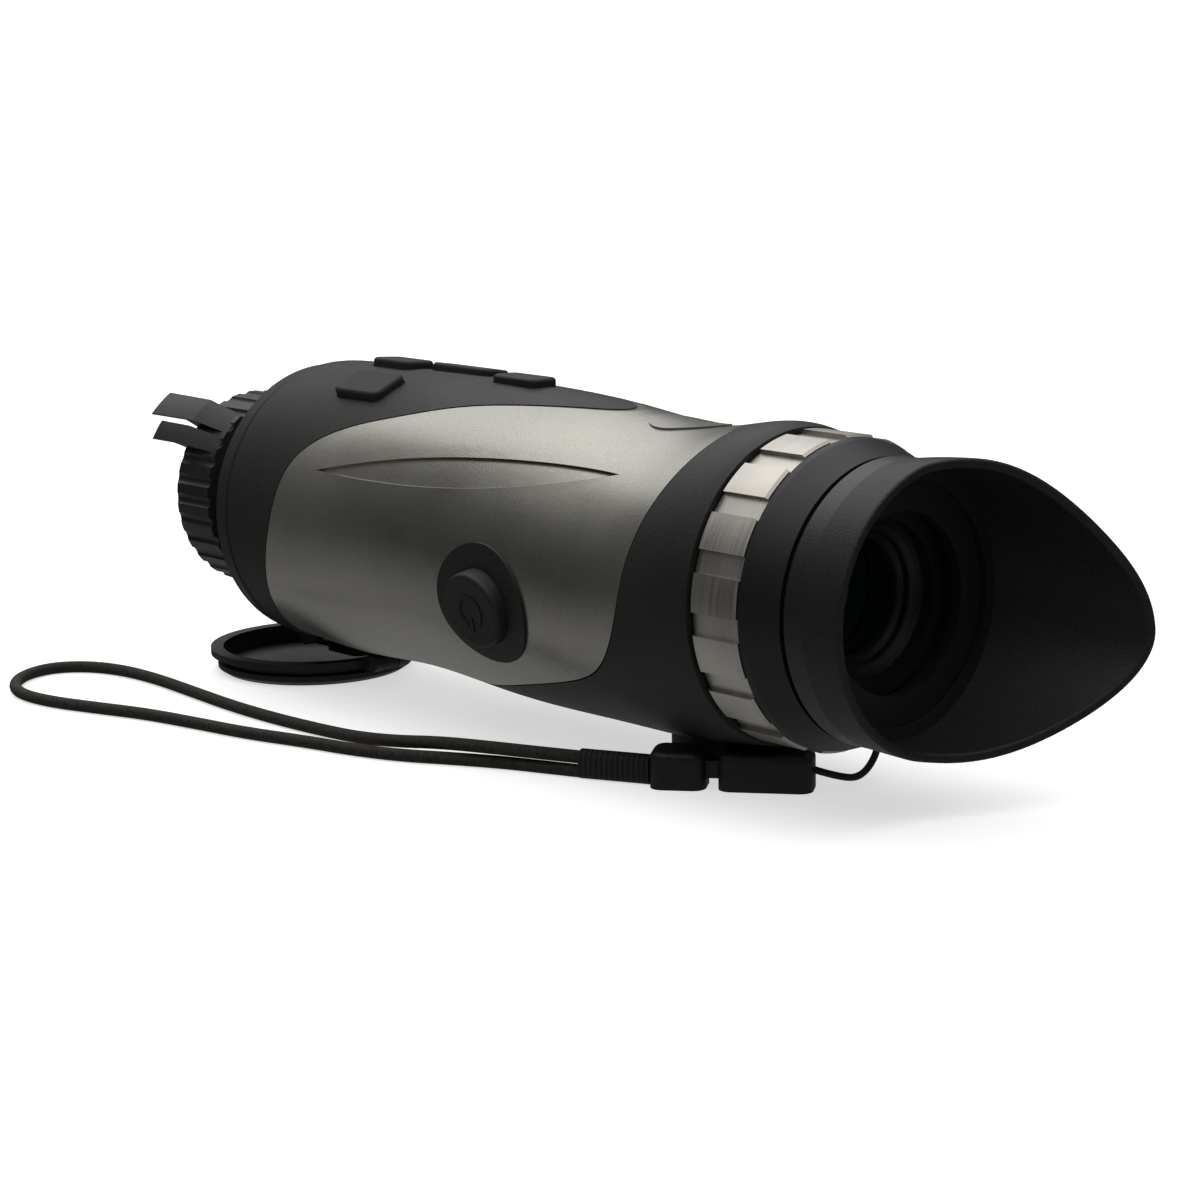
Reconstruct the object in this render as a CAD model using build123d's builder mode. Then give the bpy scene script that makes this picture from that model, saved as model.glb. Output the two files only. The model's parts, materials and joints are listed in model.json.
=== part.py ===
from build123d import *
import os
from math import asin, cos, degrees, pi, radians, sin, sqrt, tan

# Handheld viewing monocular with a laser rangefinder, its tethered lens cap and its wrist strap.
#
# Frame: millimetres, +Y forward to the objective, +X to the user's right, +Z up, origin at the mouth of
# the tripod socket, so Z = 0 is the surface that the object lies on. A station is a distance forward
# from the rear edge of the dioptre ring. Radii and heights "from the axis" are from the optical axis.

# Overall
axis_height = 39.0  # optical axis above the surface
foot_station = 35.0  # tripod socket
wall = 2.0  # casing skins
seam = 0.2  # open joint between skins, back and down
running = 0.05  # radial clearance of turning and sliding fits
gap = 0.3  # between pieces that move past each other

# Casing: station, height of the top and of the bottom from the axis
casing_sections = [
    (12.0, 30.2, 30.7),
    (21.0, 30.4, 31.8),
    (33.0, 28.4, 32.8),
    (55.0, 29.2, 32.8),
    (76.0, 31.0, 32.6),
    (95.0, 31.6, 31.3),
    (120.0, 31.6, 30.8),
    (140.0, 31.5, 30.8),
    (153.0, 31.1, 30.6),
]
casing_rear = casing_sections[0][0]
casing_front = casing_sections[-1][0]
reach = 60.0  # longer than any casing width, for cuts right across

# Inner chassis
chassis_outer = 25.5
chassis_wall = 2.0
chassis_bore = chassis_outer - chassis_wall
rib_stations = [40.0, 52.0, 101.5, 151.5]
rib_length = 3.0

# Eyepiece
ring_length = 11.6
ring_outer = 30.0
ring_seat = 26.0
ring_lands = 16
ring_recess_share = 0.38
ring_recess_depth = 1.0
ring_phase = 17.8  # first recess, degrees from the right-hand side
barrel_tail = -12.6
cup_seat = 25.4
cell_bore = 19.0
eye_lens_radius = 15.1
eye_lens_station = 1.0

# Eyecup
cup_wall = 1.8
cup_lip = 0.6  # rounding of the rim
cup_points = 24
# station, how far the nose stands out of the round, share by which that side grows taller
cup_radius = 27.0
cup_sections = [(-14.0, 0.0, 0.0), (-23.0, 4.4, 0.14), (-33.0, 8.6, 0.2), (-46.0, 12.8, 0.22)]
cup_droop = 0.55  # fall of the nose, as a share of how far it stands out
cup_rim_station = -22.6
cup_sweep_start = -3.2  # where the rim turns back
cup_sweep = 0.47  # and its slope from there

# Objective and focus
focus_start = 159.8
focus_front = 185.4
focus_outer = 21.8
grip_start = 172.6  # fluted part of the focus ring
tube_outer = 18.0
cell_outer = tube_outer - 2.0
lens_radius = cell_outer - 1.8
relay_front = 152.0
lens_front = focus_front - 9.4
lens_thickness = 4.0
cell_front = focus_front - 5.8
tube_front = focus_front - 3.6
flange_radius = tube_outer + 3.3
focus_neck = tube_outer + 1.7
bolt_radius = tube_outer + 1.8
flute_count = 30
flute_radius = 1.5
flute_rise = 0.85  # centres of the flutes outside the ring
bezel_front = 159.2
bezel_rear = casing_front + seam
bezel_plate = 3.0
bezel_outer = 30.6
bezel_groove = 1.0  # bevel that makes the groove behind the bezel
nose_bottom = axis_height - bezel_outer
flange_rear = bezel_rear + 0.2  # flange of the objective tube, screwed up behind the bezel
window_radius = 2.4
window_circle = 23.9
window_angles = [65.0, 115.0]
# finger lever on the focus ring: each of its two fingers' first angle, arc and tip station
fingers = [(121.0, 15.0, focus_front + 14.0), (139.5, 10.5, focus_front + 8.8)]

# Keys
key_proud = 1.6
key_flange = 28.6
key_fit = 0.15
power_station = 69.0
power_angle = 193.0
power_bezel_radius = 12.5
power_button_radius = 7.8
power_proud = 34.8
power_travel = 0.8
mark_radius = 3.1
mark_line = 0.6
mark_height = 0.25
switch_height = 1.5
# name, station, angle round the axis, length along the body, width round the body
keys = [
    ("key_left", 125.5, 113.0, 15.0, 9.0),
    ("key_front", 133.0, 85.0, 13.0, 8.0),
    ("key_right", 114.0, 80.0, 19.0, 7.0),
    ("key_rear", 91.5, 88.0, 14.0, 7.0),
]

# Foot and tripod socket
foot_radius = 9.0
socket_radius = 3.25
insert_radius = 5.0
socket_depth = 7.0

# Lens cap and its tether, at rest folded under the nose
cap_radius = 23.4
cap_height = 5.4
cap_floor = 1.2
cap_mouth = cap_radius - 2.8
lug_station = 162.5
lug_height = 7.4
cap_pivot_height = 4.9
cap_pivot_to_centre = cap_radius + 2.8
finger_inner = cap_radius + 0.9  # the fingers pass outside the closed cap
finger_outer = finger_inner + 0.8
cap_closed_gap = 0.3
pin_radius = 0.8
knuckle_radius = 1.6
knuckle_half = 1.9
ear_length = 2.2

# Port
port_station = 62.0
port_angle = -14.0
port_length = 15.2
port_width = 8.2
port_fit = 0.4
port_bead = 0.7
port_hinge_rise = 32.4  # hinge bead from the axis
port_hinge_drop = 5.6  # and below the middle of the port

# Wrist strap
strap_radius = 1.3
lead_radius = 0.7
buckle_start = (-18.7, -0.9)
buckle_end = (0.3, -25.9)
buckle_height = 7.5
buckle_width = 9.0
socket_share = 0.345
neck_share = 0.075

optical_axis = Axis((0, 0, axis_height), (0, 1, 0))


def y_at(station):
    """Y of a station."""
    return station - foot_station


def across(station):
    """Plane square to the optical axis, facing forward, X to the right and Y down."""
    return Plane((0, y_at(station), axis_height), x_dir=(1, 0, 0), z_dir=(0, 1, 0))


def radial(station, angle, distance):
    """Plane facing out from the axis at an angle from +X towards +Z, its X forward."""
    out = Vector(cos(radians(angle)), 0, sin(radians(angle)))
    origin = Vector(0, y_at(station), axis_height) + out * distance
    return Plane(origin, x_dir=(0, 1, 0), z_dir=out)


def outline(corners):
    """Face on the centre plane from (station, distance from the axis) corners."""
    with BuildSketch(Plane.YZ) as face:
        with BuildLine():
            Polyline(*[(y_at(station), axis_height + up) for station, up in corners], close=True)
        make_face()
    return face.sketch


def turn(corners, mode=Mode.ADD):
    """Turned solid about the optical axis, added to the part being built."""
    revolve(profiles=outline(corners), axis=optical_axis, mode=mode)


def lens(rear, front, radius, rear_bulge, front_bulge):
    """Lens between two stations, each face flat or part of a sphere that stands out by its bulge."""
    faces = [(rear, -1, rear_bulge), (front, 1, front_bulge)]
    with BuildSketch(Plane.YZ) as section:
        with BuildLine():
            for station, side, bulge in faces:
                pole = (y_at(station + side * bulge), axis_height)
                rim = (y_at(station), axis_height + radius)
                if bulge:
                    sphere = (radius**2 + bulge**2) / (2 * bulge)
                    half_way = bulge - sphere + sqrt(sphere**2 - radius**2 / 4)
                    ThreePointArc(pole, (y_at(station + side * half_way), axis_height + radius / 2), rim)
                else:
                    Line(pole, rim)
            Line((y_at(rear), axis_height + radius), (y_at(front), axis_height + radius))
            Line((y_at(rear - rear_bulge), axis_height), (y_at(front + front_bulge), axis_height))
        make_face()
    revolve(profiles=section.sketch, axis=optical_axis)


def skin(inset):
    """Solid inside the casing's outer surface, shrunk all round by inset."""
    with BuildPart() as blank:
        for station, top, bottom in casing_sections:
            middle = axis_height + (top - bottom) / 2
            with BuildSketch(Plane((0, y_at(station), middle), x_dir=(1, 0, 0), z_dir=(0, 1, 0))):
                Circle((top + bottom) / 2 - inset)
        loft()
    return blank.part


def casing_top(station):
    """Height of the casing's crest from the axis, between its sections."""
    for (a, top_a, _), (b, top_b, _) in zip(casing_sections, casing_sections[1:]):
        if a <= station <= b:
            return top_a + (top_b - top_a) * (station - a) / (b - a)
    return casing_sections[-1][1]


def front_region(grow):
    """Side view of the black nose and keypad panel: all that lies ahead of and above its edge."""
    with BuildSketch(Plane.YZ) as region:
        with BuildLine():
            edge = Spline(*[(y_at(s) - grow, axis_height + up - grow) for s, up in panel_edge])
            Polyline(edge @ 1, (edge @ 1) + (0, reach), (y_at(casing_front) + reach, axis_height + reach),
                     (y_at(casing_front) + reach, (edge @ 0).Y), edge @ 0)
        make_face()
    return region.sketch


def rear_region(grow):
    """Side view of the black collar and belly: all that lies behind and below its edge."""
    with BuildSketch(Plane.YZ) as region:
        with BuildLine():
            edge = Spline(*[(y_at(s) + grow, axis_height + up + grow) for s, up in collar_edge])
            Polyline(edge @ 1, (edge @ 1) + (0, -reach), (y_at(casing_rear) - reach, axis_height - reach),
                     (y_at(casing_rear) - reach, (edge @ 0).Y), edge @ 0)
        make_face()
    return region.sketch


# Edges of the skins in side view: station, height from the axis
panel_edge = [(152.6, -36.0), (148.0, -22.0), (137.5, 2.0), (133.0, 15.0), (121.5, 22.0), (109.0, 25.2),
              (95.0, 28.0), (80.0, 29.4), (66.0, 29.7), (56.0, 29.5), (46.0, 29.8)]
collar_edge = [(21.6, 36.0), (23.0, 28.5), (25.6, 20.0), (28.6, 7.3), (31.6, -6.0), (38.7, -15.4),
               (51.6, -20.8), (65.4, -24.0), (83.0, -27.8), (100.0, -30.0), (120.0, -32.0)]


def key_hole(station, angle, length, width):
    """Opening for a key through the casing."""
    with BuildPart() as hole:
        with BuildSketch(radial(station, angle, chassis_outer + wall / 2)):
            RectangleRounded(length + 2 * key_fit, width + 2 * key_fit, 2.0 + key_fit)
        extrude(amount=reach / 4)
    return hole.part


def bolt_circle(station, radius, count, bolt_radius, length, start=45.0):
    """Cylinders on a circle about the optical axis, running forward from a station."""
    with BuildPart() as bolts:
        with BuildSketch(across(station)):
            with PolarLocations(radius, count, start_angle=start):
                Circle(bolt_radius)
        extrude(amount=length)
    return bolts.part


parts = {}

# ---------------------------------------------------------------- casing

# Styling scoop pressed into each side of the shell: station, height from the axis
scoop_front = (124.5, 13.5)
scoop_rear = (40.4, 20.7)
scoop_crest = (85.0, 19.9)
scoop_lower = (81.0, 14.5)
scoop_depth = 0.7

with BuildPart() as scoop:
    with BuildSketch(Plane.YZ):
        with BuildLine():
            ends = [(y_at(s), axis_height + up) for s, up in (scoop_front, scoop_rear)]
            crest = (y_at(scoop_crest[0]), axis_height + scoop_crest[1])
            lower = (y_at(scoop_lower[0]), axis_height + scoop_lower[1])
            ThreePointArc(ends[0], crest, ends[1])
            ThreePointArc(ends[1], lower, ends[0])
        make_face()
    extrude(amount=reach, both=True)
    add(skin(scoop_depth), mode=Mode.SUBTRACT)

with BuildPart() as main_shell:
    add(skin(0))
    add(skin(wall), mode=Mode.SUBTRACT)
    extrude(front_region(seam), amount=reach, both=True, mode=Mode.SUBTRACT)
    extrude(rear_region(seam), amount=reach, both=True, mode=Mode.SUBTRACT)
    with BuildSketch(radial(power_station, power_angle, 0)):
        Circle(power_bezel_radius + running)
    extrude(amount=reach, mode=Mode.SUBTRACT)
    with BuildSketch(radial(port_station, port_angle, 0)):
        RectangleRounded(port_length + 2 * port_fit, port_width + 2 * port_fit, 2.0)
    extrude(amount=reach, mode=Mode.SUBTRACT)
    add(scoop.part, mode=Mode.SUBTRACT)
parts["main_shell"] = main_shell

with BuildPart() as top_panel:
    add(skin(0))
    add(skin(wall), mode=Mode.SUBTRACT)
    extrude(front_region(0), amount=reach, both=True, mode=Mode.INTERSECT)
    for name, station, angle, length, width in keys:
        add(key_hole(station, angle, length, width), mode=Mode.SUBTRACT)
parts["top_panel"] = top_panel

with BuildPart() as rear_collar:
    add(skin(0))
    add(skin(wall), mode=Mode.SUBTRACT)
    extrude(rear_region(0), amount=reach, both=True, mode=Mode.INTERSECT)
    # blind pilot that the tripod insert's shank passes into
    with BuildSketch(Plane.XY):
        Circle(insert_radius)
    extrude(amount=axis_height - chassis_outer, mode=Mode.SUBTRACT)
parts["rear_collar"] = rear_collar

with BuildPart() as chassis:
    turn([(18.0, chassis_bore), (18.0, chassis_outer), (casing_front, chassis_outer),
          (casing_front, chassis_bore)])
    with BuildPart(mode=Mode.PRIVATE) as ribs:
        for station in rib_stations:
            with BuildSketch(across(station - rib_length / 2)):
                Circle(reach)
            extrude(amount=rib_length)
        add(skin(wall), mode=Mode.INTERSECT)
        turn([(0, 0), (0, chassis_outer - chassis_wall / 2), (200, chassis_outer - chassis_wall / 2), (200, 0)],
             mode=Mode.SUBTRACT)
    add(ribs.part)
    for angle in window_angles:
        with BuildSketch(across(145.0)):
            with Locations((window_circle * cos(radians(angle)), -window_circle * sin(radians(angle)))):
                Circle(window_radius + running)
        extrude(amount=20, mode=Mode.SUBTRACT)
    with BuildSketch(Plane.XY):
        Circle(insert_radius)
    extrude(amount=axis_height - chassis_bore, mode=Mode.SUBTRACT)
    with BuildSketch(radial(port_station, port_angle, 0)):
        Rectangle(10.0, 4.4)
    extrude(amount=reach, mode=Mode.SUBTRACT)
parts["chassis"] = chassis

with BuildPart() as front_bezel:
    turn([(bezel_rear, 27.5), (bezel_rear, bezel_outer - bezel_groove), (bezel_rear + bezel_groove, bezel_outer),
          (bezel_front - 1.0, bezel_outer - 0.6), (bezel_front, bezel_outer - 1.4),
          (bezel_front, tube_outer + gap), (bezel_front - bezel_plate, tube_outer + gap),
          (bezel_front - bezel_plate, 27.5)])
    add(bolt_circle(bezel_front - bezel_plate, bolt_radius, 4, 0.9, 2.0), mode=Mode.SUBTRACT)
    for angle in window_angles:
        with BuildSketch(across(150.0)):
            with Locations((window_circle * cos(radians(angle)), -window_circle * sin(radians(angle)))):
                Circle(window_radius)
        extrude(amount=20, mode=Mode.SUBTRACT)
    # lug for the cap's tether, under the nose
    for side in (-1, 1):
        with BuildSketch(Plane.YZ.offset(side * (knuckle_half + 0.2 + ear_length / 2))):
            with Locations((y_at(lug_station), lug_height)):
                Circle(knuckle_radius + 0.1)
            with BuildLine():
                Polyline((y_at(157.0), nose_bottom + 3.6), (y_at(157.0), nose_bottom + 0.2),
                         (y_at(lug_station) - 0.6, lug_height - 1.59),
                         (y_at(lug_station) + 1.69, lug_height + 0.2),
                         (y_at(bezel_front) + 0.3, nose_bottom + 3.2),
                         (y_at(bezel_front) - 0.4, nose_bottom + 3.6),
                         close=True)
            make_face()
        extrude(amount=ear_length / 2, both=True)
    with BuildSketch(Plane.YZ):
        with Locations((y_at(lug_station), lug_height)):
            Circle(pin_radius)
    extrude(amount=20, both=True, mode=Mode.SUBTRACT)
parts["front_bezel"] = front_bezel

with BuildPart() as laser_windows:
    for angle in window_angles:
        with BuildSketch(across(bezel_front - 1.2)):
            with Locations((window_circle * cos(radians(angle)), -window_circle * sin(radians(angle)))):
                Circle(window_radius)
        extrude(amount=1.0)
parts["laser_windows"] = laser_windows

with BuildPart() as laser_module:
    for angle in window_angles:
        with BuildSketch(across(147.0)):
            with Locations((window_circle * cos(radians(angle)), -window_circle * sin(radians(angle)))):
                Circle(window_radius)
        extrude(amount=bezel_front - 1.2 - 147.0)
    turn([(145.2, tube_outer + gap), (145.2, chassis_bore - gap), (147.0, chassis_bore - gap),
          (147.0, tube_outer + gap)])
parts["laser_module"] = laser_module

with BuildPart() as badge:
    with BuildSketch(Plane.XY.offset(axis_height)):
        with Locations((0, y_at(44.0))):
            Circle(6.4)
        with Locations((0, y_at(31.5))):
            Circle(1.0)
        make_hull()
    extrude(amount=reach)
    add(skin(-0.35), mode=Mode.INTERSECT)
    add(skin(0), mode=Mode.SUBTRACT)
parts["badge"] = badge

# ---------------------------------------------------------------- keys

with BuildPart() as power_bezel:
    with BuildSketch(radial(power_station, power_angle, 28.0)):
        Circle(power_bezel_radius)
        Circle(power_button_radius + key_fit, mode=Mode.SUBTRACT)
    extrude(amount=10)
    add(skin(-0.6), mode=Mode.INTERSECT)
parts["power_bezel"] = power_bezel

with BuildPart() as power_button:
    with BuildSketch(radial(power_station, power_angle, 26.9)):
        Circle(power_button_radius + 1.6)
    extrude(amount=0.8)
    with BuildSketch(radial(power_station, power_angle, 26.9)):
        Circle(power_button_radius)
    extrude(amount=power_proud - 26.9)
    rim = power_button.edges().filter_by(GeomType.CIRCLE).sort_by(
        Axis((0, 0, 0), (cos(radians(power_angle)), 0, sin(radians(power_angle)))))[-1]
    fillet(rim, 0.9)
    # raised power mark: an open ring and an upright bar
    with BuildSketch(radial(power_station, power_angle, power_proud)):
        Circle(mark_radius + mark_line / 2)
        Circle(mark_radius - mark_line / 2, mode=Mode.SUBTRACT)
        Rectangle(2.2, 2 * mark_radius, align=(Align.CENTER, Align.MIN), mode=Mode.SUBTRACT)
        with Locations((0, mark_radius - 1.7)):
            Rectangle(mark_line, 2.8, align=(Align.CENTER, Align.MIN))
    extrude(amount=mark_height)
parts["power_button"] = power_button

for name, station, angle, length, width in keys:
    top = casing_top(station) + key_proud
    with BuildPart() as key:
        with BuildSketch(radial(station, angle, key_flange - 0.8)):
            RectangleRounded(length + 1.6, width + 1.6, 2.0)
        extrude(amount=0.8)
        with BuildSketch(radial(station, angle, key_flange - 0.8)):
            RectangleRounded(length, width, 2.0)
        extrude(amount=top - key_flange + 0.8)
        out = Axis((0, 0, 0), (cos(radians(angle)), 0, sin(radians(angle))))
        fillet(key.faces().sort_by(out)[-1].edges(), 0.8)
    parts[name] = key

with BuildPart() as key_switches:
    for name, station, angle, length, width in keys:
        with BuildSketch(radial(station, angle, chassis_outer)):
            Circle(2.6)
        extrude(amount=switch_height)
    with BuildSketch(radial(power_station, power_angle, chassis_outer)):
        Circle(2.6)
    extrude(amount=26.9 - chassis_outer - power_travel - 0.1)
parts["key_switches"] = key_switches

# ---------------------------------------------------------------- eyepiece

with BuildPart() as eyepiece_barrel:
    turn([(18.0, 21.0), (3.0, 21.0), (3.0, 24.0), (18.0, 24.0), (18.0, ring_seat), (-gap, ring_seat),
          (-gap, 29.4), (-1.6, 29.2), (-8.2, 26.8), (-8.2, cup_seat), (barrel_tail, cup_seat),
          (barrel_tail, 17.2), (barrel_tail + 2.0, 17.2), (barrel_tail + 2.0, cell_bore), (18.0, cell_bore)])
parts["eyepiece_barrel"] = eyepiece_barrel

with BuildPart() as dioptre_ring:
    turn([(0.0, ring_seat + running), (0.0, ring_outer - 0.5), (0.5, ring_outer),
          (ring_length - 0.5, ring_outer), (ring_length, ring_outer - 0.5), (ring_length, ring_seat + running)])
    pitch = 360 / ring_lands
    with BuildSketch(across(-1.0)):
        with PolarLocations(ring_outer, ring_lands, start_angle=ring_phase):
            Rectangle(2 * ring_recess_depth, 2 * ring_outer * sin(radians(pitch * ring_recess_share / 2)))
    extrude(amount=ring_length + 2.0, mode=Mode.SUBTRACT)
parts["dioptre_ring"] = dioptre_ring

with BuildPart() as eyepiece_cell:
    turn([(-7.6, eye_lens_radius), (-7.6, 18.2), (-6.8, cell_bore - running), (2.0, cell_bore - running),
          (2.0, 18.1), (3.4, 18.1), (3.4, cell_bore - running), (15.0, cell_bore - running), (15.0, 14.0),
          (13.0, 14.0), (13.0, 16.6), (-5.2, 16.6), (-5.2, eye_lens_radius)])
parts["eyepiece_cell"] = eyepiece_cell

with BuildPart() as eyepiece_seal:
    turn([(2.05, 18.1), (2.05, cell_bore - running), (3.35, cell_bore - running), (3.35, 18.1)])
parts["eyepiece_seal"] = eyepiece_seal

with BuildPart() as eye_lens:
    lens(eye_lens_station, eye_lens_station + 3.6, 16.6, 2.4, 1.0)
parts["eye_lens"] = eye_lens

with BuildPart() as eye_retainer:
    turn([(-5.2, 14.6), (-5.2, 16.6), (eye_lens_station, 16.6), (eye_lens_station, 11.2), (-1.6, 11.2),
          (-1.6, 11.8), (-2.4, 12.6), (-3.6, 12.6), (-3.6, 13.0), (-4.4, 14.0)])
    add(eye_lens.part, mode=Mode.SUBTRACT)
parts["eye_retainer"] = eye_retainer

with BuildPart() as lens_spacer:
    turn([(eye_lens_station + 3.7, 15.0), (eye_lens_station + 3.7, 16.6), (6.0, 16.6), (6.0, 15.0)])
    add(eye_lens.part, mode=Mode.SUBTRACT)
parts["lens_spacer"] = lens_spacer

with BuildPart() as field_lens:
    turn([(6.0, 0.0), (6.0, 16.6), (10.0, 16.6), (10.0, 0.0)])
parts["field_lens"] = field_lens

with BuildPart() as lens_retainer:
    turn([(10.0, 14.5), (10.0, 16.6), (13.0, 16.6), (13.0, 14.5)])
parts["lens_retainer"] = lens_retainer

# ---------------------------------------------------------------- eyecup

with BuildPart() as cup_ring:
    turn([(-9.0, cup_seat + running), (-9.0, 26.6), (-9.6, 27.0), (-14.0, 27.0), (-14.0, 23.0),
          (barrel_tail - gap, 23.0), (barrel_tail - gap, cup_seat + running)])
parts["cup_ring"] = cup_ring


def cup_section(station, radius, nose, swell):
    """Egg-shaped section of the eyecup, its nose towards the temple on the right and drooping."""
    points = []
    for step in range(cup_points):
        angle = 2 * pi * step / cup_points
        lean = (1 + cos(angle)) / 2
        points.append((radius * cos(angle) + nose * lean**8,
                       cup_droop * nose * lean**5 - radius * sin(angle) * (1 + swell * lean**2)))
    with BuildSketch(across(station)) as section:
        with BuildLine():
            Spline(*points, periodic=True)
        make_face()
    return section.sketch


def cup_solid(inset):
    """Solid of the eyecup's outer form, shrunk by inset."""
    with BuildPart() as form:
        loft(sections=[cup_section(station, cup_radius - inset, nose, swell)
                       for station, nose, swell in cup_sections])
    return form.part


with BuildPart() as eyecup:
    add(cup_solid(0))
    add(cup_solid(cup_wall), mode=Mode.SUBTRACT)
    # rim: level across the nose side, swept back towards the temple
    with BuildSketch(Plane.XY):
        with BuildLine():
            swept_end = y_at(cup_rim_station - cup_sweep * (reach - cup_sweep_start))
            rim_line = FilletPolyline((-reach, y_at(cup_rim_station)), (cup_sweep_start, y_at(cup_rim_station)),
                                      (reach, swept_end), radius=10.0)
            Polyline(rim_line @ 1, (reach, swept_end - reach), (-reach, swept_end - reach), rim_line @ 0)
        make_face()
    extrude(amount=axis_height + reach, mode=Mode.SUBTRACT)
    rim_edges = eyecup.edges().filter_by(lambda edge: edge.bounding_box().max.Y < y_at(cup_rim_station + 5.0))
    fillet(rim_edges, cup_lip)
parts["eyecup"] = eyecup

# ---------------------------------------------------------------- objective

with BuildPart() as objective_tube:
    turn([(138.0, cell_outer), (138.0, tube_outer), (flange_rear, tube_outer), (flange_rear, flange_radius),
          (bezel_front - bezel_plate, flange_radius), (bezel_front - bezel_plate, tube_outer),
          (tube_front, tube_outer), (tube_front, cell_outer)])
    add(bolt_circle(flange_rear - 0.4, bolt_radius, 4, 0.9, 5.0), mode=Mode.SUBTRACT)
parts["objective_tube"] = objective_tube

with BuildPart() as bezel_screws:
    add(bolt_circle(flange_rear, bolt_radius, 4, 0.9, bezel_front - bezel_plate + 2.0 - flange_rear))
    add(bolt_circle(flange_rear - 1.5, bolt_radius, 4, 1.5, 1.5))
parts["bezel_screws"] = bezel_screws

with BuildPart() as focus_ring:
    turn([(focus_start, tube_outer + running), (focus_start, focus_neck), (grip_start, focus_neck),
          (grip_start + 0.5, focus_outer), (focus_front - 0.8, focus_outer), (focus_front, focus_outer - 0.8),
          (focus_front, tube_outer - 1.0), (tube_front + 0.4, tube_outer - 1.0),
          (tube_front + 0.4, tube_outer + running)])
    with BuildSketch(across(grip_start - 0.1)):
        with PolarLocations(focus_outer + flute_rise, flute_count):
            Circle(flute_radius)
    extrude(amount=reach, mode=Mode.SUBTRACT)
    for first, arc, tip in fingers:
        side_view = outline([(grip_start + 1.0, focus_outer - 1.6), (grip_start + 1.0, focus_outer - 0.4),
                             (focus_front - 2.4, finger_outer - 0.3), (tip - 1.0, finger_outer),
                             (tip, finger_outer - 0.6), (tip, finger_inner), (focus_front + 0.6, finger_inner),
                             (focus_front - 3.0, focus_outer - 1.6)])
        with BuildPart(mode=Mode.PRIVATE) as finger:
            revolve(profiles=side_view, axis=optical_axis, revolution_arc=arc)
        add(finger.part.rotate(optical_axis, 90.0 - first - arc))
parts["focus_ring"] = focus_ring

with BuildPart() as objective_cell:
    turn([(relay_front - 6.0, lens_radius - 1.4), (relay_front - 6.0, cell_outer - running),
          (cell_front, cell_outer - running), (cell_front, lens_radius), (relay_front - 3.0, lens_radius),
          (relay_front - 3.0, lens_radius - 1.4)])
parts["objective_cell"] = objective_cell

with BuildPart() as objective_lens:
    lens(lens_front - lens_thickness, lens_front, lens_radius, 0.0, 2.5)
parts["objective_lens"] = objective_lens

with BuildPart() as objective_retainer:
    turn([(lens_front + 0.9, lens_radius - 1.3), (lens_front + 0.9, lens_radius),
          (cell_front - 0.4, lens_radius), (cell_front - 0.4, lens_radius - 1.3)])
    add(objective_lens.part, mode=Mode.SUBTRACT)
parts["objective_retainer"] = objective_retainer

with BuildPart() as relay_lens:
    turn([(relay_front - 3.0, 0.0), (relay_front - 3.0, lens_radius), (relay_front, lens_radius),
          (relay_front, 0.0)])
parts["relay_lens"] = relay_lens

with BuildPart() as cell_spacer:
    turn([(relay_front, lens_radius - 1.0), (relay_front, lens_radius),
          (lens_front - lens_thickness, lens_radius), (lens_front - lens_thickness, lens_radius - 1.0)])
parts["cell_spacer"] = cell_spacer

# ---------------------------------------------------------------- electronics

with BuildPart() as sensor_bracket:
    turn([(131.0, 9.0), (131.0, chassis_bore), (134.0, chassis_bore), (134.0, 9.0)])
parts["sensor_bracket"] = sensor_bracket

with BuildPart() as sensor_core:
    with BuildSketch(across(119.0)):
        RectangleRounded(26.0, 26.0, 2.0)
    extrude(amount=12.0)
    with BuildSketch(across(131.0)):
        Rectangle(11.0, 9.0)
    extrude(amount=2.0)
parts["sensor_core"] = sensor_core

with BuildPart() as main_board:
    with BuildSketch(Plane.XY.offset(axis_height + 13.2)):
        with Locations((0, y_at(79.0))):
            Rectangle(36.0, 74.0)
    extrude(amount=1.6)
    with BuildSketch(Plane.XY.offset(axis_height + 13.2)):
        with Locations((0, y_at(92.0))):
            Rectangle(15.0, 15.0)
        with Locations((-9.0, y_at(66.0)), (7.0, y_at(70.0))):
            Rectangle(9.0, 7.0)
    extrude(amount=-1.4)
parts["main_board"] = main_board

battery_radius = 9.2
battery_height = axis_height - 8.0
with BuildPart() as battery:
    with BuildSketch(Plane((0, y_at(46.0), battery_height), x_dir=(1, 0, 0), z_dir=(0, 1, 0))):
        Circle(battery_radius)
    extrude(amount=65.0)
    fillet(battery.edges(), 0.8)
    with BuildSketch(Plane((0, y_at(111.0), battery_height), x_dir=(1, 0, 0), z_dir=(0, 1, 0))):
        Circle(3.0)
    extrude(amount=1.2)
parts["battery"] = battery

with BuildPart() as battery_tray:
    with BuildSketch(Plane.XY.offset(battery_height - battery_radius - 1.5)):
        with Locations((0, y_at(79.0))):
            Rectangle(22.0, 70.4)
    extrude(amount=1.5)
    for station in (43.8, 112.4):
        with BuildSketch(Plane((0, y_at(station), battery_height), x_dir=(1, 0, 0), z_dir=(0, 1, 0))):
            with Locations((0, 0.75)):
                Rectangle(22.0, 2 * battery_radius + 1.5)
        extrude(amount=1.8)
parts["battery_tray"] = battery_tray

with BuildPart() as display_bracket:
    with BuildSketch(across(27.0)):
        Circle(chassis_bore)
        Rectangle(17.0, 14.0, mode=Mode.SUBTRACT)
    extrude(amount=2.0)
parts["display_bracket"] = display_bracket

with BuildPart() as display_module:
    with BuildSketch(across(24.0)):
        Rectangle(21.0, 18.0)
    extrude(amount=3.0)
    with BuildSketch(across(27.0)):
        Rectangle(17.0, 14.0)
    extrude(amount=3.5)
parts["display_module"] = display_module

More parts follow.
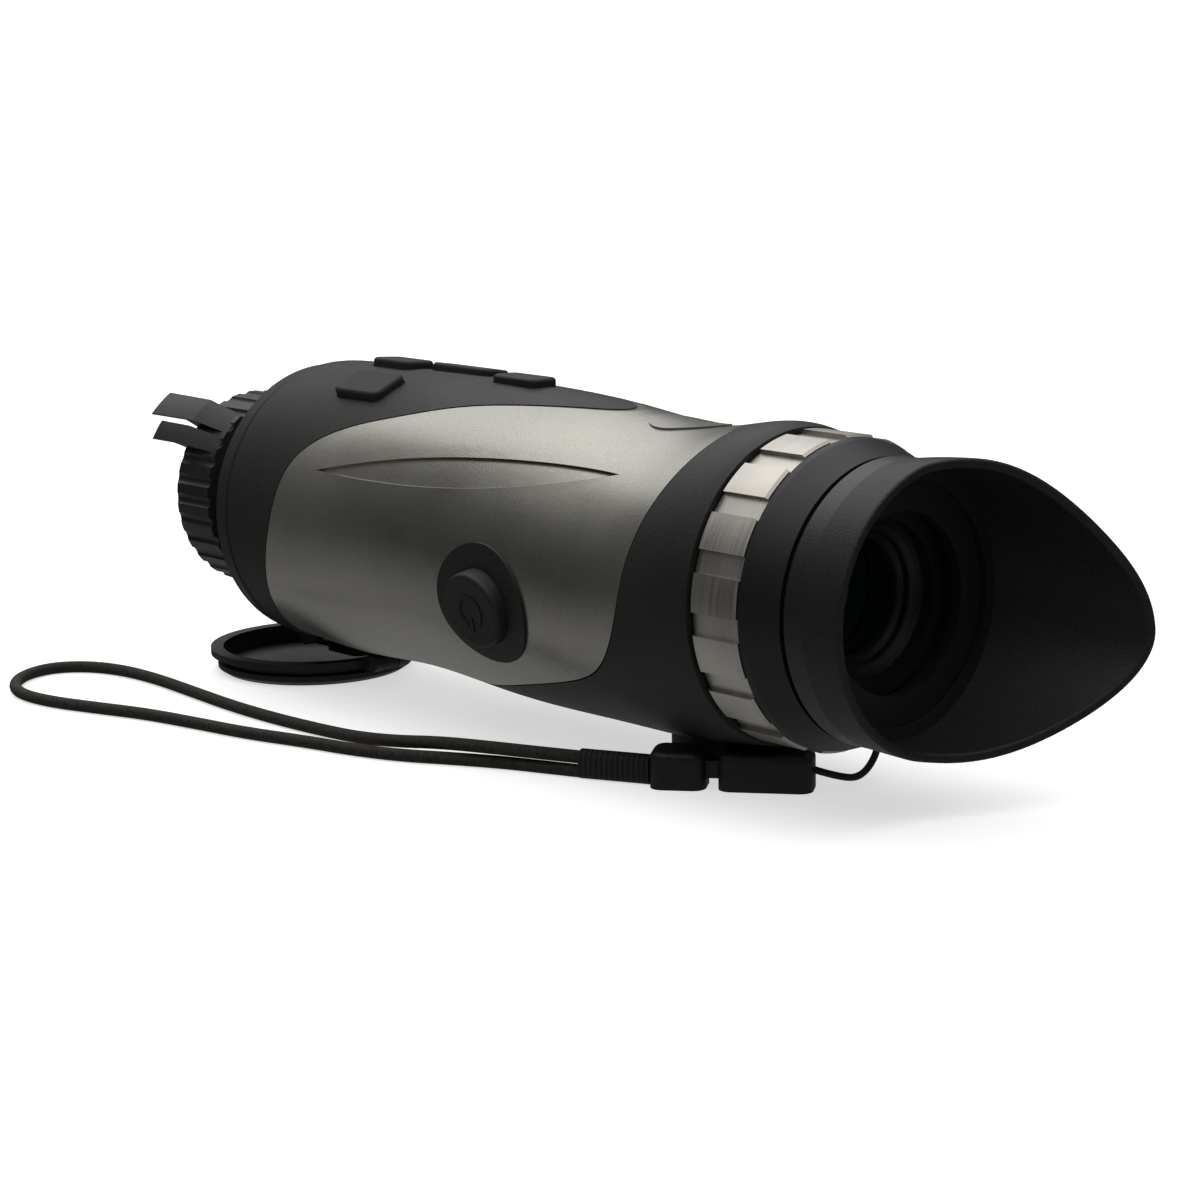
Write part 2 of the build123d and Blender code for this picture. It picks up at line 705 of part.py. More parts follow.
# ---------------------------------------------------------------- port on the right side

with BuildPart() as usb_socket:
    with BuildSketch(radial(port_station, port_angle, 19.5)):
        Rectangle(10.0, 4.4)
        Rectangle(8.8, 3.2, mode=Mode.SUBTRACT)
    extrude(amount=8.5)
    with BuildSketch(radial(port_station, port_angle, 19.5)):
        Rectangle(10.0, 4.4)
    extrude(amount=1.0)
parts["usb_socket"] = usb_socket

with BuildPart() as port_cover:
    with BuildSketch(radial(port_station, port_angle, 29.6)):
        RectangleRounded(port_length, port_width, 1.8)
    extrude(amount=8)
    add(skin(0.05), mode=Mode.INTERSECT)
    # tongue over the shell to the hinge bead
    with BuildSketch(radial(port_station, port_angle, port_hinge_rise - port_bead)):
        with Locations((0, -port_hinge_drop)):
            Rectangle(8.0, 3.0, align=(Align.CENTER, Align.MIN))
    extrude(amount=2 * port_bead)
    with BuildSketch(radial(port_station, port_angle, 30.6)):
        with Locations((0, -port_width / 2 + 0.1)):
            Rectangle(8.0, 1.4, align=(Align.CENTER, Align.MIN))
    extrude(amount=port_hinge_rise - 30.6)
    bead = radial(port_station, port_angle, port_hinge_rise)
    with BuildSketch(Plane(bead.origin - bead.y_dir * port_hinge_drop, x_dir=(1, 0, 0), z_dir=(0, 1, 0))):
        Circle(port_bead)
    extrude(amount=4.0, both=True)
parts["port_cover"] = port_cover

# ---------------------------------------------------------------- foot, tripod insert, strap lug

with BuildPart() as foot:
    with BuildSketch(Plane.XY):
        Circle(foot_radius)
        Circle(insert_radius, mode=Mode.SUBTRACT)
    extrude(amount=axis_height - chassis_outer)
    add(skin(0), mode=Mode.SUBTRACT)
parts["foot"] = foot

with BuildPart() as tripod_insert:
    with BuildSketch(Plane.XY):
        Circle(insert_radius)
    extrude(amount=axis_height - chassis_outer)
    with BuildSketch(Plane.XY):
        Circle(socket_radius)
    extrude(amount=socket_depth, mode=Mode.SUBTRACT)
parts["tripod_insert"] = tripod_insert

lug_angle = -51.0
lug_hole_distance = 34.2
strap_eye = (lug_hole_distance * cos(radians(lug_angle)),
             -lug_hole_distance * sin(radians(lug_angle)))
strap_lug_station = 17.0
with BuildPart() as strap_lug:
    with BuildSketch(across(strap_lug_station - 1.5)):
        with Locations(strap_eye):
            Circle(2.6)
        with Locations((30.0 * cos(radians(lug_angle)), -30.0 * sin(radians(lug_angle)))):
            Circle(4.0)
        make_hull()
        with Locations(strap_eye):
            Circle(lead_radius + running, mode=Mode.SUBTRACT)
    extrude(amount=3.0)
    add(skin(0), mode=Mode.SUBTRACT)
parts["strap_lug"] = strap_lug

# ---------------------------------------------------------------- lens cap and tether

# Closed, the cap's mouth stands a gap ahead of the focus ring and its centre is on the axis.
closed_pivot_station = focus_front + cap_closed_gap + cap_height - cap_pivot_height
closed_rise = axis_height - cap_pivot_to_centre - lug_height
tether_length = sqrt((closed_pivot_station - lug_station) ** 2 + closed_rise**2)
rest_drop = lug_height - cap_pivot_height
cap_pivot_station = lug_station - sqrt(tether_length**2 - rest_drop**2)
cap_station = cap_pivot_station + cap_pivot_to_centre
tether_swing = 180 - degrees(asin(rest_drop / tether_length)) + degrees(asin(closed_rise / tether_length))
cap_swing = 90.0 - tether_swing

with BuildPart() as lens_cap:
    with BuildSketch(Plane.YZ):
        with BuildLine():
            profile = [(0, 0), (cap_radius - 3.0, 0), (cap_radius - 1.5, 1.0), (cap_radius - 1.5, 2.2),
                       (cap_radius - 2.4, 2.7), (cap_radius - 2.4, 3.3), (cap_radius, 3.9),
                       (cap_radius, cap_height), (cap_mouth, cap_height), (cap_mouth, cap_floor), (0, cap_floor)]
            Polyline(*[(y_at(cap_station) + out, up) for out, up in profile], close=True)
        make_face()
    revolve(axis=Axis((0, y_at(cap_station), 0), (0, 0, 1)))
    for side in (-1, 1):
        with BuildSketch(Plane.YZ.offset(side * (knuckle_half + 0.2 + ear_length / 2))):
            with Locations((y_at(cap_pivot_station), cap_pivot_height)):
                Circle(knuckle_radius + 0.1)
            with Locations((y_at(cap_pivot_station + 4.0), cap_pivot_height - 0.6)):
                Rectangle(2.6, 2.2)
            make_hull()
        extrude(amount=ear_length / 2, both=True)
    with BuildSketch(Plane.YZ):
        with Locations((y_at(cap_pivot_station), cap_pivot_height)):
            Circle(pin_radius)
    extrude(amount=12, both=True, mode=Mode.SUBTRACT)
parts["lens_cap"] = lens_cap

strap_low = cap_height + 0.35
strap_high = strap_low + 1.2
with BuildPart() as cap_tether:
    with BuildSketch(Plane.YZ):
        with Locations((y_at(lug_station), lug_height), (y_at(cap_pivot_station), cap_pivot_height)):
            Circle(knuckle_radius)
        with BuildLine():
            Polyline((y_at(cap_pivot_station), strap_low), (y_at(lug_station), strap_low),
                     (y_at(lug_station), strap_high), (y_at(cap_pivot_station) + 1.2, strap_high),
                     (y_at(cap_pivot_station), cap_pivot_height + knuckle_radius), close=True)
        make_face()
    extrude(amount=knuckle_half, both=True)
    with BuildSketch(Plane.XY.offset(strap_low)):
        with Locations((0, y_at(cap_pivot_station + 11.0))):
            RectangleRounded(9.0, 12.0, 2.5)
    extrude(amount=1.2)
    with BuildSketch(Plane.YZ):
        with Locations((y_at(lug_station), lug_height), (y_at(cap_pivot_station), cap_pivot_height)):
            Circle(pin_radius + running)
    extrude(amount=12, both=True, mode=Mode.SUBTRACT)
parts["cap_tether"] = cap_tether

pin_half = knuckle_half + 0.2 + ear_length
with BuildPart() as lug_pin:
    with BuildSketch(Plane.YZ):
        with Locations((y_at(lug_station), lug_height)):
            Circle(pin_radius)
    extrude(amount=pin_half, both=True)
parts["lug_pin"] = lug_pin

with BuildPart() as cap_pin:
    with BuildSketch(Plane.YZ):
        with Locations((y_at(cap_pivot_station), cap_pivot_height)):
            Circle(pin_radius)
    extrude(amount=pin_half, both=True)
parts["cap_pin"] = cap_pin

# ---------------------------------------------------------------- wrist strap

along = Vector(buckle_end[0] - buckle_start[0], buckle_end[1] - buckle_start[1], 0)
buckle_length = along.length
buckle_plane = Plane((buckle_start[0], buckle_start[1], 0), x_dir=along, z_dir=(0, 0, 1))
socket_length = buckle_length * socket_share
neck_length = buckle_length * neck_share

with BuildPart() as buckle_socket:
    with BuildSketch(buckle_plane):
        with Locations((socket_length / 2, 0)):
            RectangleRounded(socket_length, buckle_width, 2.6)
    extrude(amount=buckle_height)
    fillet(buckle_socket.faces().sort_by(Axis.Z)[-1].edges(), 1.6)
    with BuildSketch(buckle_plane.offset(buckle_height / 2 - 1.75)):
        with Locations((socket_length, 0)):
            Rectangle(8.0, 4.4)
    extrude(amount=3.5, mode=Mode.SUBTRACT)
parts["buckle_socket"] = buckle_socket

with BuildPart() as buckle_plug:
    with BuildSketch(buckle_plane):
        with Locations(((socket_length + neck_length + buckle_length) / 2, 0)):
            RectangleRounded(buckle_length - socket_length - neck_length, buckle_width, 2.6)
    extrude(amount=buckle_height)
    fillet(buckle_plug.faces().sort_by(Axis.Z)[-1].edges(), 1.6)
    with BuildSketch(buckle_plane.offset(buckle_height / 2 - 1.7)):
        with Locations((socket_length - 3.95, 0)):
            Rectangle(neck_length + 5.5, 4.3, align=(Align.MIN, Align.CENTER))
    extrude(amount=3.4)
parts["buckle_plug"] = buckle_plug


def corner_radii(points):
    """Largest tangent radius that each corner's two runs allow."""
    radii = []
    for before, here, after in zip(points, points[1:], points[2:]):
        incoming = Vector(*here) - Vector(*before)
        outgoing = Vector(*after) - Vector(*here)
        turn_angle = radians(incoming.get_angle(outgoing))
        radii.append(0.45 * min(incoming.length, outgoing.length) / tan(turn_angle / 2))
    return radii


def cord_tube(label, points, radius):
    """Round tube along straight runs joined by tangent arcs."""
    radii = corner_radii(points)
    with BuildPart() as tube:
        with BuildLine() as route:
            FilletPolyline(*points, radius=radii)
        path = route.wire()
        with BuildSketch(Plane(origin=path @ 0, z_dir=path % 0)):
            Circle(radius)
        sweep(path=path)
    fullness = tube.part.volume / (pi * radius**2 * path.length)
    print(label, "length", round(path.length, 1), "volume over section times length", round(fullness, 4))
    print(label, "radii", [round(value, 1) for value in radii])
    return tube


# Strap: one round cord out of the whipping, round the far end and back under itself
strap_route = [
    (-24.8, 12.4, 4.1), (-28.6, 21.0, 4.2), (-32.6, 30.6, 4.3), (-36.6, 41.0, 4.2), (-39.4, 51.6, 3.1),
    (-40.3, 62.8, 2.1), (-39.6, 76.0, 1.3), (-40.3, 91.0, 1.3), (-39.8, 107.0, 1.3), (-37.9, 124.0, 1.3),
    (-36.2, 140.0, 1.3), (-36.5, 152.5, 1.3), (-39.6, 161.6, 1.3), (-46.0, 166.6, 1.3), (-54.2, 165.0, 1.3),
    (-61.2, 158.8, 1.3), (-65.2, 149.6, 1.3), (-64.6, 138.6, 1.3), (-61.0, 127.0, 1.3), (-56.6, 114.0, 1.3),
    (-54.0, 99.0, 1.3), (-51.8, 84.6, 1.3), (-47.8, 70.6, 1.3), (-45.4, 59.0, 1.3), (-41.6, 47.8, 1.3),
    (-36.2, 38.6, 1.3), (-31.0, 28.6, 1.3), (-27.7, 20.0, 1.3), (-24.8, 12.4, 1.3),
]
whipping_start = Vector(buckle_start[0], buckle_start[1], 0)
whipping_end = Vector(strap_route[0][0], strap_route[0][1], 0)
whipping_run = whipping_end - whipping_start
with BuildPart() as strap_whipping:
    with BuildSketch(Plane(whipping_start + Vector(0, 0, 2.9), x_dir=(whipping_run.Y, -whipping_run.X, 0),
                           z_dir=whipping_run)):
        RectangleRounded(3.8, 5.8, 1.7)
    extrude(amount=whipping_run.length)
    add(buckle_socket.part, mode=Mode.SUBTRACT)
parts["strap_whipping"] = strap_whipping

parts["strap_cord"] = cord_tube("strap_cord", strap_route, strap_radius)

# Lead: thin cord from the buckle's plug, up to the lug on the collar
lug_hole = (lug_hole_distance * cos(radians(lug_angle)), y_at(strap_lug_station - 1.5),
            axis_height + lug_hole_distance * sin(radians(lug_angle)))
lead_start = buckle_plane.origin + along.normalized() * buckle_length + Vector(0, 0, buckle_height / 2)
lead_route = [
    (lead_start.X, lead_start.Y, lead_start.Z), (2.7, -29.8, 2.6), (8.0, -30.6, 1.5), (14.0, -29.2, 4.4),
    (18.5, -26.2, 8.6), (lug_hole[0], -22.5, lug_hole[2]), (lug_hole[0], lug_hole[1] + 3.0, lug_hole[2]),
]
parts["strap_lead"] = cord_tube("strap_lead", lead_route, lead_radius)

with BuildPart() as lead_knot:
    with Locations((lug_hole[0], lug_hole[1] + 4.6, lug_hole[2])):
        Sphere(1.7)
    with BuildSketch(Plane((lug_hole[0], lug_hole[1] + 3.0, lug_hole[2]), x_dir=(1, 0, 0), z_dir=(0, 1, 0))):
        Circle(1.3)
    extrude(amount=1.0)
    with BuildSketch(Plane((0, lug_hole[1] + 3.0, 0), x_dir=(1, 0, 0), z_dir=(0, 1, 0))):
        Rectangle(200, 200)
    extrude(amount=-10, mode=Mode.SUBTRACT)
parts["lead_knot"] = lead_knot

os.makedirs("parts", exist_ok=True)
for name, piece in parts.items():
    piece.part.label = name
    export_step(piece.part, f"parts/{name}.step")

print("tether length", round(tether_length, 3), "swing", round(tether_swing, 3), "cap swing", round(cap_swing, 3),
      "ratio", round(cap_swing / tether_swing, 5))
print("cap pivot", round(y_at(cap_pivot_station), 3), cap_pivot_height, "cap centre", round(y_at(cap_station), 3))
print("lug pivot", y_at(lug_station), lug_height)
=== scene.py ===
import json
from math import cos, pi, radians, sin

import bmesh
import bpy
from mathutils import Matrix, Vector


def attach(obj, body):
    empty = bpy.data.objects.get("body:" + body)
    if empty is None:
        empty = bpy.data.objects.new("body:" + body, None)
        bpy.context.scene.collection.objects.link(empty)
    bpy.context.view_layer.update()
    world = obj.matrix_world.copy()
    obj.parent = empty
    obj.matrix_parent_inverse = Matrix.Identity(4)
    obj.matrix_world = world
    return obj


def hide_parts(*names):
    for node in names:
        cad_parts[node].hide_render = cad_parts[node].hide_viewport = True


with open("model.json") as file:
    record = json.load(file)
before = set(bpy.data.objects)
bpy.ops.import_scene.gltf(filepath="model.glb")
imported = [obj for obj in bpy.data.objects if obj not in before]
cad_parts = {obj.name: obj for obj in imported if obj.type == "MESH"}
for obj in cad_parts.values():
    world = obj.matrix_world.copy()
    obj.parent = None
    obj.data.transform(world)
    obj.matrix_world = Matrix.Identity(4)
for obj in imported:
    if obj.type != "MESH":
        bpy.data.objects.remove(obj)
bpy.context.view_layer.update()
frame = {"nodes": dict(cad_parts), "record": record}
nodes = frame["nodes"]

# ------------------------------------------------------------------ camera
camera_place = Vector((-0.41503, -0.42250, 0.15559))
camera_aim = Vector((0.0, 0.03351, 0.02844))
camera_roll = radians(1.05)
camera_lens = 93.35

view = (camera_aim - camera_place).normalized()
level = view.cross(Vector((0, 0, 1))).normalized()
upright = level.cross(view)
right = level * cos(camera_roll) - upright * sin(camera_roll)
up = upright * cos(camera_roll) + level * sin(camera_roll)
camera_data = bpy.data.cameras.new("camera")
camera_data.lens = camera_lens
camera_data.sensor_width = 36.0
camera_data.clip_start = 0.01
camera_data.clip_end = 50.0
camera = bpy.data.objects.new("camera", camera_data)
camera.matrix_world = Matrix.Translation(camera_place) @ Matrix((right, up, -view)).transposed().to_4x4()
bpy.context.scene.collection.objects.link(camera)
bpy.context.scene.camera = camera


# ------------------------------------------------------------------ helpers
def link(obj):
    bpy.context.scene.collection.objects.link(obj)
    return obj


def paint(obj, material):
    obj.data.materials.clear()
    obj.data.materials.append(material)
    return obj


# ------------------------------------------------------------------ cords
strap_route = [
    (-24.8, 12.4, 4.1), (-28.6, 21.0, 4.2), (-32.6, 30.6, 4.3), (-36.6, 41.0, 4.2), (-39.4, 51.6, 3.1),
    (-40.3, 62.8, 2.1), (-39.6, 76.0, 1.3), (-40.3, 91.0, 1.3), (-39.8, 107.0, 1.3), (-37.9, 124.0, 1.3),
    (-36.2, 140.0, 1.3), (-36.5, 152.5, 1.3), (-39.6, 161.6, 1.3), (-46.0, 166.6, 1.3), (-54.2, 165.0, 1.3),
    (-61.2, 158.8, 1.3), (-65.2, 149.6, 1.3), (-64.6, 138.6, 1.3), (-61.0, 127.0, 1.3), (-56.6, 114.0, 1.3),
    (-54.0, 99.0, 1.3), (-51.8, 84.6, 1.3), (-47.8, 70.6, 1.3), (-45.4, 59.0, 1.3), (-41.6, 47.8, 1.3),
    (-36.2, 38.6, 1.3), (-31.0, 28.6, 1.3), (-27.7, 20.0, 1.3), (-24.8, 12.4, 1.3),
]
lead_route = [
    (0.3, -25.9, 3.75), (2.7, -29.8, 2.6), (8.0, -30.6, 1.5), (14.0, -29.2, 4.4), (18.5, -26.2, 8.6),
    (21.52, -22.5, 12.42), (21.52, -16.5, 12.42),
]


def cord_curve(name, route, radius):
    """Smooth cord through a route given in millimetres."""
    curve = bpy.data.curves.new(name, "CURVE")
    curve.dimensions = "3D"
    curve.bevel_depth = radius
    curve.bevel_resolution = 5
    curve.resolution_u = 10
    curve.use_fill_caps = True
    spline = curve.splines.new("NURBS")
    spline.points.add(len(route) - 1)
    for point, place in zip(spline.points, route):
        point.co = (*(c / 1000 for c in place), 1.0)
    spline.order_u = 3
    spline.use_endpoint_u = True
    return link(bpy.data.objects.new(name, curve))


strap_radius = 0.0013
lead_radius = 0.0007
strap = cord_curve("strap_loop", strap_route, strap_radius)
lead = cord_curve("lead_loop", lead_route, lead_radius)
for cord_piece, node in ((strap, "strap_cord"), (lead, "strap_lead")):
    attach(cord_piece, "housing")
    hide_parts(node)


# ------------------------------------------------------------------ materials
def new_material(name, colour, roughness, metallic=0.0):
    material = bpy.data.materials.new(name)
    material.use_nodes = True
    shader = material.node_tree.nodes["Principled BSDF"]
    shader.inputs["Base Color"].default_value = (*colour, 1)
    shader.inputs["Roughness"].default_value = roughness
    shader.inputs["Metallic"].default_value = metallic
    return material, shader


def add_node(material, kind, **settings):
    node = material.node_tree.nodes.new(kind)
    for key, value in settings.items():
        setattr(node, key, value)
    return node


def wire(material, source, target):
    material.node_tree.links.new(source, target)


def object_coordinates(material, stretch=(1, 1, 1)):
    place = add_node(material, "ShaderNodeTexCoord")
    mapping = add_node(material, "ShaderNodeMapping")
    mapping.inputs["Scale"].default_value = stretch
    wire(material, place.outputs["Object"], mapping.inputs["Vector"])
    return mapping.outputs["Vector"]


def noise(material, where, scale, detail=3.0, roughness=0.55):
    texture = add_node(material, "ShaderNodeTexNoise")
    texture.inputs["Scale"].default_value = scale
    texture.inputs["Detail"].default_value = detail
    texture.inputs["Roughness"].default_value = roughness
    wire(material, where, texture.inputs["Vector"])
    return texture.outputs["Fac"]


def ramp(material, factor, low, high, start=0.35, stop=0.65):
    node = add_node(material, "ShaderNodeValToRGB")
    node.color_ramp.elements[0].position = start
    node.color_ramp.elements[1].position = stop
    node.color_ramp.elements[0].color = (*low, 1) if hasattr(low, "__len__") else (low, low, low, 1)
    node.color_ramp.elements[1].color = (*high, 1) if hasattr(high, "__len__") else (high, high, high, 1)
    wire(material, factor, node.inputs["Fac"])
    return node.outputs["Color"]


def bump(material, shader, height, distance, strength=1.0):
    node = add_node(material, "ShaderNodeBump")
    node.inputs["Strength"].default_value = strength
    node.inputs["Distance"].default_value = distance
    wire(material, height, node.inputs["Height"])
    wire(material, node.outputs["Normal"], shader.inputs["Normal"])


def shaded(material, colour, shade):
    """One colour multiplied by another. The sockets are those of Mix in its colour mode."""
    mix = add_node(material, "ShaderNodeMix", data_type="RGBA", blend_type="MULTIPLY")
    mix.inputs[0].default_value = 1.0
    wire(material, colour, mix.inputs[6])
    wire(material, shade, mix.inputs[7])
    return mix.outputs[2]


blotch_scale = 18
blotch_spread = 0.1


def speckled(name, dark, light, roughness, metallic=0.0, grain=2500, depth=0.00006, specular=0.5):
    """Moulded or painted surface with a fine grain, faint blotches and uneven gloss."""
    material, shader = new_material(name, light, roughness, metallic)
    shader.inputs["Specular IOR Level"].default_value = specular
    where = object_coordinates(material)
    fine = noise(material, where, grain, 2.0, 0.6)
    broad = noise(material, where, blotch_scale, 4.0)
    colour = ramp(material, fine, dark, light, 0.3, 0.7)
    shade = ramp(material, broad, 1 - blotch_spread, 1 + blotch_spread)
    wire(material, shaded(material, colour, shade), shader.inputs["Base Color"])
    gloss = ramp(material, broad, roughness - 0.06, roughness + 0.08)
    wire(material, gloss, shader.inputs["Roughness"])
    bump(material, shader, fine, depth)
    return material


shell_paint = speckled("shell_paint", (0.36, 0.352, 0.318), (0.48, 0.468, 0.422), 0.3, 0.85, 3200, 0.00003)
soft_black = speckled("soft_black", (0.017, 0.0175, 0.0165), (0.033, 0.034, 0.031), 0.55, specular=0.4)
hard_black = speckled("hard_black", (0.013, 0.0135, 0.013), (0.024, 0.025, 0.024), 0.42)
cup_rubber = speckled("cup_rubber", (0.013, 0.0135, 0.013), (0.026, 0.027, 0.026), 0.52, 0, 1800,
                      specular=0.4)
anodised = speckled("anodised", (0.008, 0.008, 0.009), (0.016, 0.016, 0.017), 0.5, 0.0, 4000, 0.00002)
grey_plastic = speckled("grey_plastic", (0.05, 0.05, 0.052), (0.07, 0.07, 0.072), 0.5)
cord_cloth = speckled("cord_cloth", (0.018, 0.016, 0.012), (0.05, 0.045, 0.035), 0.8, 0, 1500, 0.0001)
board_green = speckled("board_green", (0.01, 0.08, 0.03), (0.02, 0.13, 0.05), 0.35)
cell_wrap = speckled("cell_wrap", (0.02, 0.08, 0.25), (0.03, 0.10, 0.32), 0.3)
brass = speckled("brass_insert", (0.60, 0.42, 0.17), (0.78, 0.58, 0.28), 0.3, 1.0)
bare_steel = speckled("bare_steel", (0.42, 0.42, 0.42), (0.6, 0.6, 0.6), 0.3, 1.0)
dark_steel = speckled("dark_steel", (0.05, 0.05, 0.05), (0.09, 0.09, 0.09), 0.4, 0.8)
badge_plate = speckled("badge_plate", (0.33, 0.322, 0.292), (0.44, 0.43, 0.39), 0.32, 0.85, 3200, 0.00002)


def turned_metal(name, dark, light, roughness):
    """Metal with the fine lines of a lathe, round the optical axis."""
    material, shader = new_material(name, light, roughness, 1.0)
    lines = noise(material, object_coordinates(material, (60, 3500, 60)), 1.0, 3.0, 0.7)
    broad = noise(material, object_coordinates(material), 60, 3.0)
    colour = ramp(material, lines, dark, light, 0.3, 0.7)
    shade = ramp(material, broad, 0.88, 1.05)
    wire(material, shaded(material, colour, shade), shader.inputs["Base Color"])
    wire(material, ramp(material, lines, roughness - 0.07, roughness + 0.1), shader.inputs["Roughness"])
    bump(material, shader, lines, 0.00001, 0.5)
    return material


ring_metal = turned_metal("ring_metal", (0.54, 0.515, 0.47), (0.68, 0.65, 0.595), 0.4)


def ribbed_wrap(name, dark, light, turns_per_metre, along):
    """Thread wound in close turns round a run of cord, with painted shade darkening the valleys between the
    turns.
    """
    material, shader = new_material(name, light, 0.7)
    place = add_node(material, "ShaderNodeTexCoord")
    lengthwise = add_node(material, "ShaderNodeVectorMath", operation="DOT_PRODUCT")
    lengthwise.inputs[1].default_value = along
    wire(material, place.outputs["Object"], lengthwise.inputs[0])
    phase = add_node(material, "ShaderNodeMath", operation="MULTIPLY")
    phase.inputs[1].default_value = turns_per_metre * 2 * pi
    wire(material, lengthwise.outputs["Value"], phase.inputs[0])
    wave = add_node(material, "ShaderNodeMath", operation="SINE")
    wire(material, phase.outputs[0], wave.inputs[0])
    # painted shade: the colour follows the rib wave, dark in the valleys between turns and light on the
    # crests
    wire(material, ramp(material, wave.outputs[0], dark, light, 0.0, 0.9), shader.inputs["Base Color"])
    bump(material, shader, wave.outputs[0], 0.00012)
    return material


whipping_way = (Vector(strap_route[1]) - Vector(strap_route[0])).normalized()
whipping_turns_per_metre = 900
whipping_wrap = ribbed_wrap("whipping_wrap", (0.012, 0.011, 0.01), (0.035, 0.033, 0.03),
                            whipping_turns_per_metre, whipping_way)


def coated_glass(name, tint, coat_tint, roughness=0.03):
    """Dark glass under a coloured coating, with a little dust."""
    material, shader = new_material(name, tint, roughness)
    shader.inputs["Transmission Weight"].default_value = 0.6
    shader.inputs["IOR"].default_value = 1.6
    shader.inputs["Specular Tint"].default_value = (*coat_tint, 1)
    shader.inputs["Coat Weight"].default_value = 1.0
    shader.inputs["Coat Tint"].default_value = (*coat_tint, 1)
    dust = noise(material, object_coordinates(material), 900, 2.0)
    wire(material, ramp(material, dust, roughness, roughness + 0.12, 0.55, 0.8), shader.inputs["Roughness"])
    return material


eye_glass = coated_glass("eye_glass", (0.006, 0.014, 0.013), (0.45, 0.9, 0.8))
window_glass = coated_glass("window_glass", (0.03, 0.005, 0.012), (0.9, 0.3, 0.5))
germanium = coated_glass("germanium", (0.05, 0.05, 0.06), (0.6, 0.7, 0.9), 0.06)

# finish of each material slot, and of the pieces that differ from their slot
finish_of = {
    "shell_grey": shell_paint, "rubber_black": soft_black, "plastic_black": hard_black,
    "ring_silver": ring_metal, "anodised_black": anodised, "chassis_grey": grey_plastic,
    "steel": bare_steel, "brass": brass, "coated_glass": eye_glass, "germanium": germanium,
    "window_glass": window_glass, "board_green": board_green, "sensor_gold": bare_steel,
    "battery_wrap": cell_wrap, "seal_rubber": soft_black, "cord_fabric": cord_cloth,
    "buckle_plastic": hard_black,
}
piece_finish = {
    "eyecup": cup_rubber, "lug_pin": hard_black, "cap_pin": hard_black, "bezel_screws": dark_steel,
    "strap_whipping": whipping_wrap, "badge": badge_plate,
}
for row in frame["record"]["subparts"]:
    paint(nodes[row["node"]], finish_of[row["material_slot"]])
for node, finish in piece_finish.items():
    paint(nodes[node], finish)
for cord_piece in (strap, lead):
    paint(cord_piece, cord_cloth)

# ------------------------------------------------------------------ floor, backdrop and light
stage_radius = 40.0
backdrop_radius = stage_radius * 1.02
floor_glow = 0.6
backdrop_glow = 1.1
sky_strength = 1.65


def stage_object(name, shape):
    """Studio piece from a finished bmesh."""
    mesh = bpy.data.meshes.new(name)
    shape.to_mesh(mesh)
    shape.free()
    return link(bpy.data.objects.new(name, mesh))


shape = bmesh.new()
bmesh.ops.create_circle(shape, cap_ends=True, segments=96, radius=stage_radius)
floor = stage_object("floor", shape)
floor_paint, shader = new_material("floor_paint", (0.9, 0.9, 0.9), 0.95)
shader.inputs["Emission Color"].default_value = (1, 1, 1, 1)
shader.inputs["Emission Strength"].default_value = floor_glow
shader.inputs["Specular IOR Level"].default_value = 0.0
paint(floor, floor_paint)
floor.visible_diffuse = False  # a studio sweep that sends little light back up
floor.visible_glossy = False

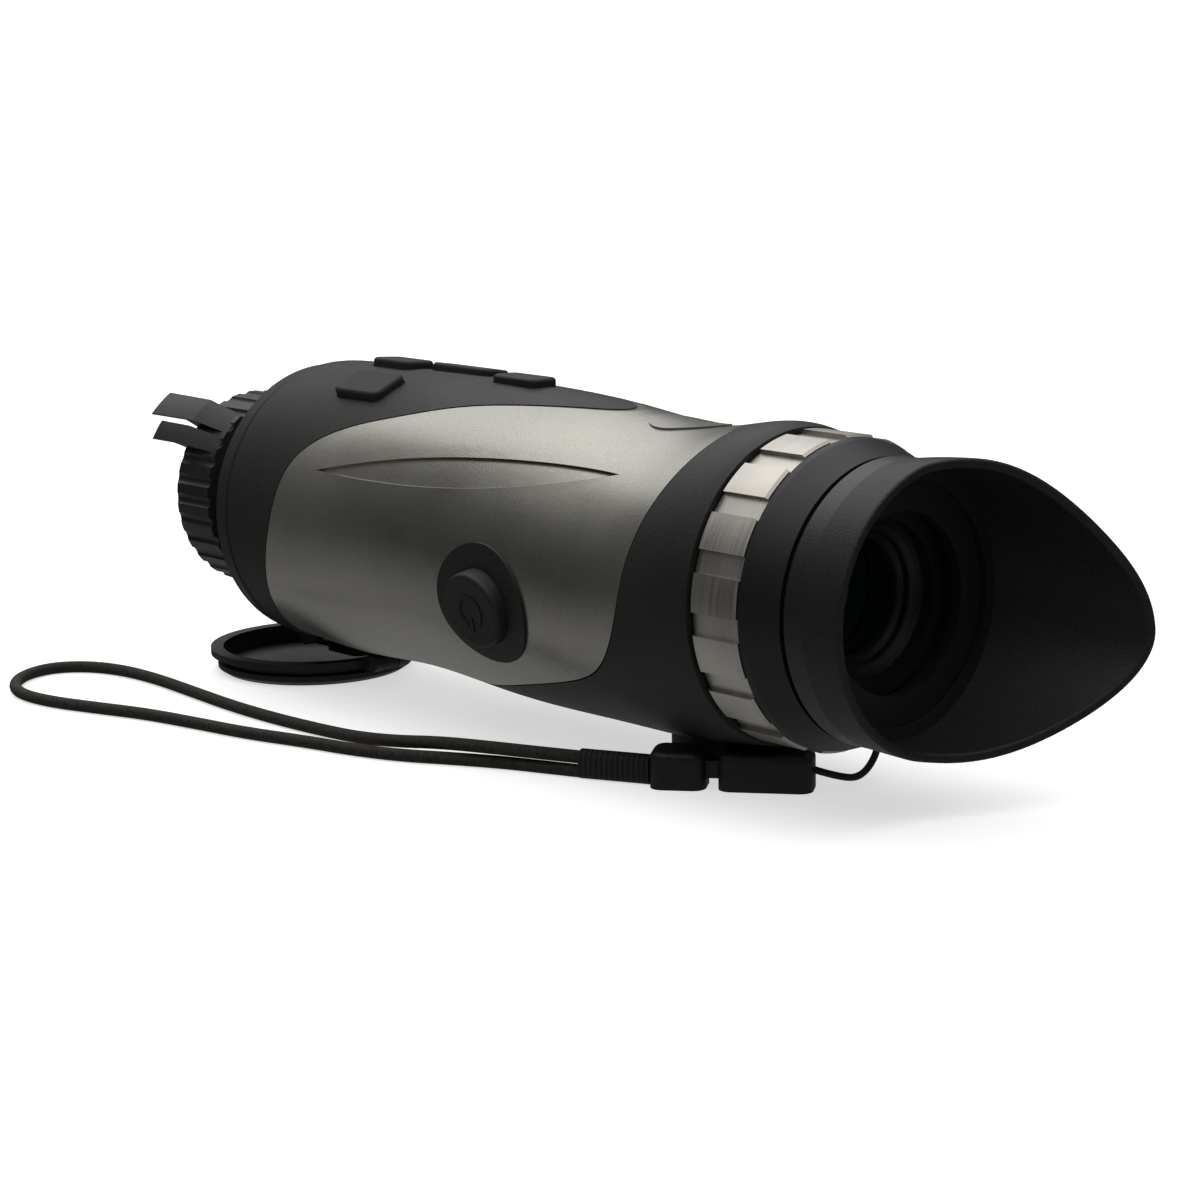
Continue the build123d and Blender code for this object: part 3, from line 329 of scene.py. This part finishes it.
shape = bmesh.new()
bmesh.ops.create_uvsphere(shape, u_segments=48, v_segments=24, radius=backdrop_radius)
backdrop = stage_object("backdrop", shape)
backdrop_paint = bpy.data.materials.new("backdrop_paint")
backdrop_paint.use_nodes = True
backdrop_paint.node_tree.nodes.clear()
glow = add_node(backdrop_paint, "ShaderNodeEmission")
glow.inputs["Strength"].default_value = backdrop_glow
surface = add_node(backdrop_paint, "ShaderNodeOutputMaterial")
wire(backdrop_paint, glow.outputs["Emission"], surface.inputs["Surface"])
paint(backdrop, backdrop_paint)
for kind in ("diffuse", "glossy", "transmission", "volume_scatter", "shadow"):
    setattr(backdrop, "visible_" + kind, False)


def soft_light(name, place, target, size, power):
    data = bpy.data.lights.new(name, "AREA")
    data.shape = "RECTANGLE"
    data.size, data.size_y = size
    data.energy = power
    lamp = link(bpy.data.objects.new(name, data))
    lamp.location = place
    lamp.rotation_euler = (Vector(target) - Vector(place)).to_track_quat("-Z", "Y").to_euler()


middle = (0.0, 0.05, 0.03)
soft_light("top_light", (0.3, 0.8, 0.85), middle, (1.2, 0.9), 3.2)

# Sky: bright overhead, dark round the horizon, some light from below. Each band is the upward part of its
# direction, from -1 straight down to 1 straight up, and its brightness.
world = bpy.data.worlds.new("studio")
world.use_nodes = True
sky = world.node_tree
toward = sky.nodes.new("ShaderNodeTexCoord")
split = sky.nodes.new("ShaderNodeSeparateXYZ")
half = sky.nodes.new("ShaderNodeMapRange")
fade = sky.nodes.new("ShaderNodeValToRGB")
half.inputs["From Min"].default_value = -1.0
sky_bands = [(-1.0, 0.1), (-0.55, 0.18), (-0.33, 0.1), (-0.1, 0.02), (0.2, 0.03), (0.45, 0.07), (0.7, 0.3),
             (1.0, 0.9)]
while len(fade.color_ramp.elements) < len(sky_bands):
    fade.color_ramp.elements.new(0.5)
for element, (height, brightness) in zip(fade.color_ramp.elements, sky_bands):
    element.position = (height + 1) / 2
    element.color = (brightness, brightness, brightness, 1)
strength = sky.nodes.new("ShaderNodeMath")
strength.operation = "MULTIPLY"
strength.inputs[1].default_value = sky_strength
sky.links.new(toward.outputs["Generated"], split.inputs["Vector"])
sky.links.new(split.outputs["Z"], half.inputs["Value"])
sky.links.new(half.outputs["Result"], fade.inputs["Fac"])
sky.links.new(fade.outputs["Color"], strength.inputs[0])
sky.links.new(strength.outputs["Value"], sky.nodes["Background"].inputs["Strength"])
sky.nodes["Background"].inputs["Color"].default_value = (1.0, 1.0, 1.0, 1)
bpy.context.scene.world = world
bpy.context.scene.view_settings.view_transform = "Standard"
